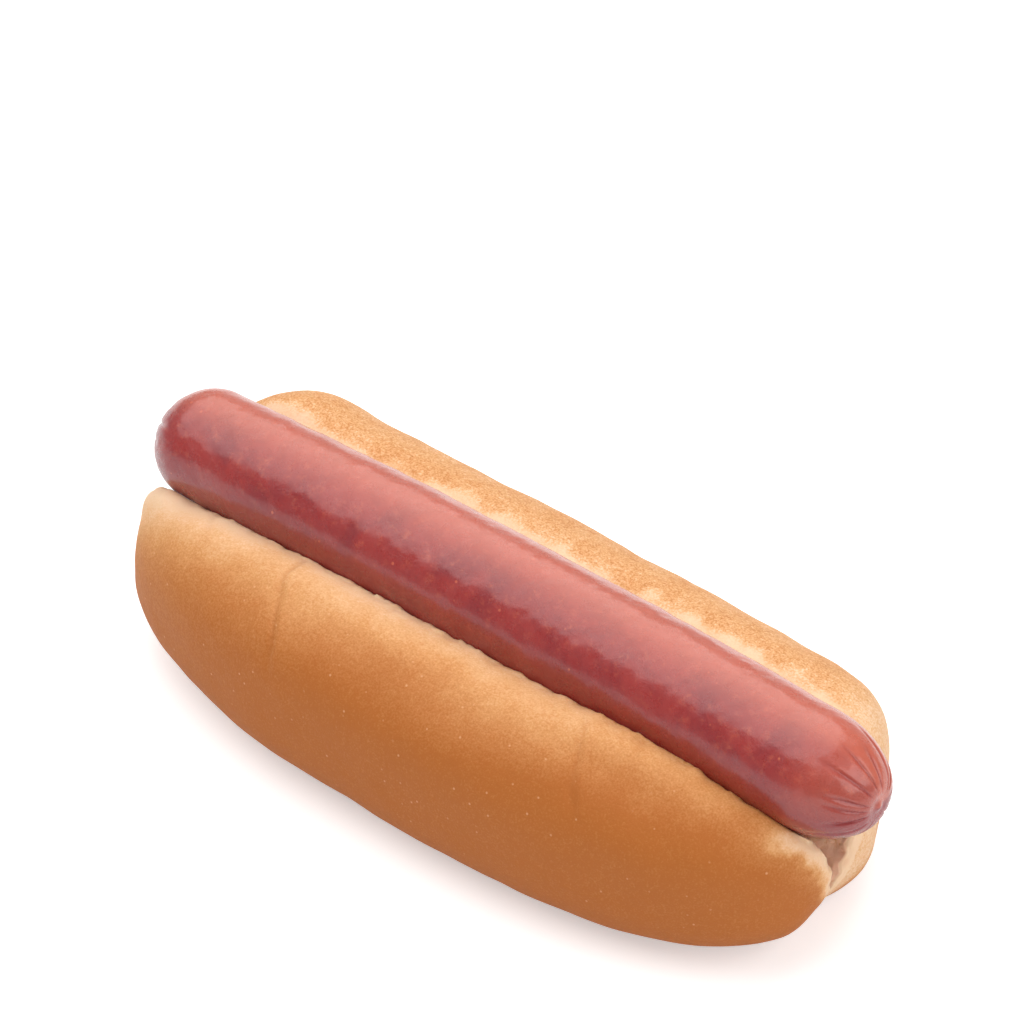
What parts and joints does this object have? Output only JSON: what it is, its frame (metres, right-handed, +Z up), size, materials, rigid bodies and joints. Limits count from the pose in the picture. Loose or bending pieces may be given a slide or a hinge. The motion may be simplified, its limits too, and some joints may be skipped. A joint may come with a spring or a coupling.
{
  "type": "hot dog",
  "caption": "Hot dog: a grilled frankfurter held in a soft browned roll slit open along its top and joined along the bottom.",
  "frame": {"origin": "under the middle of the whole hot dog, on the surface that the roll rests on", "axes": "+X along the roll and the sausage, +Y across towards the far half of the roll, +Z up"},
  "size_m": [0.1575, 0.0666, 0.0466],
  "materials": {
    "bread": "baked bread crust, soft and matt with a faint grain, cream beside the slit, turning golden and orange-brown down the sides; pale open crumb on the cut faces",
    "sausage_skin": "moist glossy frankfurter skin, deep brick red with a salmon sheen, fine pits and creases gathered at both ends"
  },
  "bodies": {
    "root": {"bun": "bread", "sausage": "sausage_skin"}
  },
  "joints": []
}
